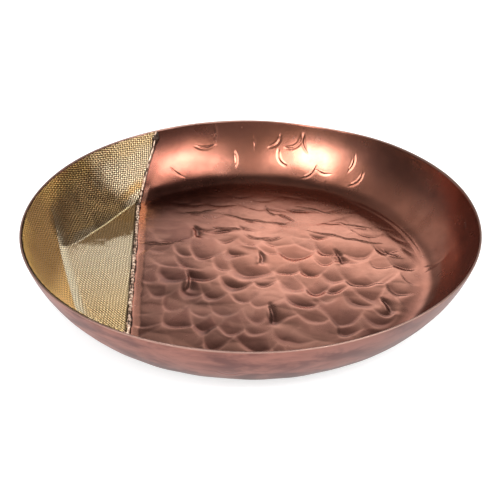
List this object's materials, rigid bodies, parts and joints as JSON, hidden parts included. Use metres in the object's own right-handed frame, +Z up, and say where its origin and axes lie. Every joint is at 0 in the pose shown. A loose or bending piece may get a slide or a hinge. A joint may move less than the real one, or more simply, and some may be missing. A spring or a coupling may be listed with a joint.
{
  "type": "hammered copper tray",
  "caption": "Shallow round hammered copper dish with a flat base, sloping wall and plain lip, one side lined with brass wire cloth behind a beaded seam.",
  "frame": {"origin": "middle of the flat underside of the base", "axes": "+Z up out of the dish, -X towards the side lined with wire cloth, so the seam runs along Y"},
  "size_m": [0.35, 0.35, 0.047],
  "materials": {
    "hammered_copper": "copper, hammered inside, brown and rose patina, satin",
    "brass_cloth": "woven brass wire, satin",
    "seam_wire": "tinned copper wire, worn bright",
    "burnt_solder": "solder darkened by flux and heat, with bright spots"
  },
  "bodies": {
    "root": {"copper_dish": "hammered_copper", "brass_wire_cloth": "brass_cloth", "base_seam_bead": "seam_wire", "back_wall_seam_wire": "seam_wire", "bend_solder": "burnt_solder", "rim_solder": "burnt_solder"}
  },
  "joints": []
}
